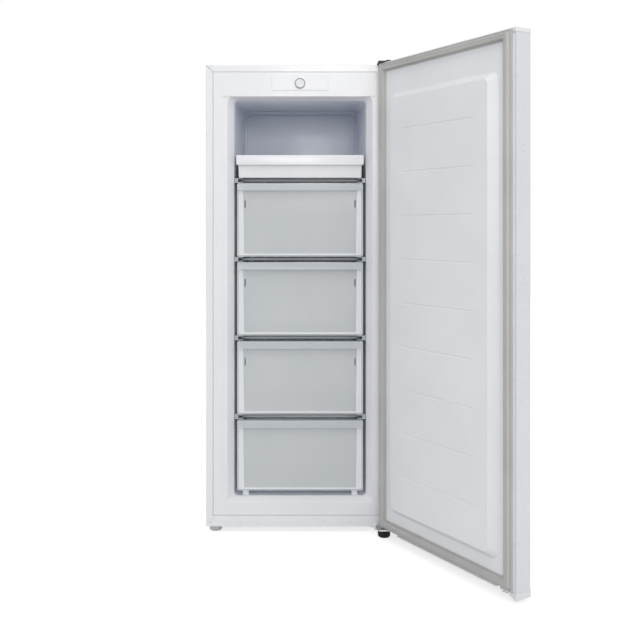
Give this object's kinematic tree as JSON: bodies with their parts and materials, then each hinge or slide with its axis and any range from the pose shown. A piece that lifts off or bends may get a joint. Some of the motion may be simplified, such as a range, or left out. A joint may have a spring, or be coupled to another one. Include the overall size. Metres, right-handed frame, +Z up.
{
  "type": "upright freezer",
  "caption": "Upright freezer with its door open: clear pull-out drawers under a white tray, on cold tube shelves, with a dial in the header.",
  "frame": {"origin": "on the floor, on the cabinet's centreline, straight below the front face of the cabinet", "axes": "+X to the right as seen from the front, +Y from the front to the back, +Z up"},
  "size_m": [0.8308, 0.9888, 1.3762],
  "materials": {
    "white_sheet": "gloss",
    "white_liner": "satin",
    "white_tray": "satin",
    "clear_drawer": "gloss",
    "gasket_grey": "matte",
    "white_cap": "satin",
    "white_dial": "satin",
    "bush_nylon": "satin",
    "black_bracket": "satin",
    "plated_steel": "satin",
    "galvanised_sheet": "satin",
    "grey_foot": "matte",
    "black_foot": "satin",
    "tube_grey": "satin",
    "clip_grey": "satin",
    "copper_tube": "satin",
    "compressor_black": "satin",
    "black_cover": "matte",
    "black_rubber": "matte",
    "thermostat_cream": "matte",
    "foam": "matte"
  },
  "bodies": {
    "cabinet": {"cabinet_shell": "white_sheet", "rear_panel": "white_sheet", "bottom_deck": "galvanised_sheet", "front_crossmember": "white_sheet", "side_rails": "galvanised_sheet", "rear_feet": "black_foot", "corner_screws": "plated_steel", "cabinet_foam": "foam", "inner_liner": "white_liner", "control_plate": "white_liner", "thermostat": "thermostat_cream", "upper_hinge_bracket": "black_bracket", "upper_hinge_pin": "plated_steel", "lower_hinge_bracket": "plated_steel", "lower_hinge_pin": "plated_steel", "hinge_screws": "plated_steel", "hinge_hole_plugs": "white_cap", "shelf_clips": "clip_grey", "evaporator_risers": "tube_grey", "condenser_coil_left": "copper_tube", "condenser_coil_right": "copper_tube", "front_frame_loop": "copper_tube", "compressor": "compressor_black", "compressor_grommets": "black_rubber", "compressor_crossbar": "galvanised_sheet", "start_relay_cover": "black_cover", "cord_gland": "black_rubber", "discharge_pipe": "copper_tube", "suction_pipe": "copper_tube", "filter_drier": "copper_tube", "capillary_tube": "copper_tube", "evaporator_shelf_1": "tube_grey", "evaporator_shelf_2": "tube_grey", "evaporator_shelf_3": "tube_grey", "evaporator_shelf_4": "tube_grey"},
    "door": {"door_skin": "white_sheet", "door_foam": "foam", "door_inner_panel": "white_liner", "door_gasket": "gasket_grey", "door_top_cap": "white_cap", "door_bottom_cap": "white_cap", "door_bushes": "bush_nylon"},
    "top_tray": {"top_tray": "white_tray"},
    "drawer_1": {"drawer_1": "clear_drawer"},
    "drawer_2": {"drawer_2": "clear_drawer"},
    "drawer_3": {"drawer_3": "clear_drawer"},
    "drawer_4": {"drawer_4": "clear_drawer"},
    "thermostat_dial": {"thermostat_knob": "white_dial", "thermostat_spindle": "plated_steel"},
    "left_foot": {"front_foot_left": "grey_foot"},
    "right_foot": {"front_foot_right": "black_foot"}
  },
  "joints": [
    {"name": "door_hinge", "type": "hinge", "parent": "cabinet", "child": "door", "pos_m": [0.256, -0.033, 0.69], "axis": [0, 0, 1], "range_deg": [-121, 4]},
    {"name": "top_tray_slide", "type": "slide", "parent": "cabinet", "child": "top_tray", "axis": [0, -1, 0], "range_m": [0, 0.3]},
    {"name": "drawer_1_slide", "type": "slide", "parent": "cabinet", "child": "drawer_1", "axis": [0, -1, 0], "range_m": [0, 0.31]},
    {"name": "drawer_2_slide", "type": "slide", "parent": "cabinet", "child": "drawer_2", "axis": [0, -1, 0], "range_m": [0, 0.31]},
    {"name": "drawer_3_slide", "type": "slide", "parent": "cabinet", "child": "drawer_3", "axis": [0, -1, 0], "range_m": [0, 0.31]},
    {"name": "drawer_4_slide", "type": "slide", "parent": "cabinet", "child": "drawer_4", "axis": [0, -1, 0], "range_m": [0, 0.19]},
    {"name": "thermostat_turn", "type": "hinge", "parent": "cabinet", "child": "thermostat_dial", "pos_m": [0, -0.004, 1.3135], "axis": [0, 1, 0], "range_deg": [-150, 150]},
    {"name": "left_foot_turn", "type": "hinge", "parent": "cabinet", "child": "left_foot", "pos_m": [-0.249, 0.03, 0], "axis": [0, 0, 1], "range_deg": [-1080, 1080]},
    {"name": "right_foot_turn", "type": "hinge", "parent": "cabinet", "child": "right_foot", "pos_m": [0.243, -0.031, 0], "axis": [0, 0, 1], "range_deg": [-1080, 1080]}
  ]
}
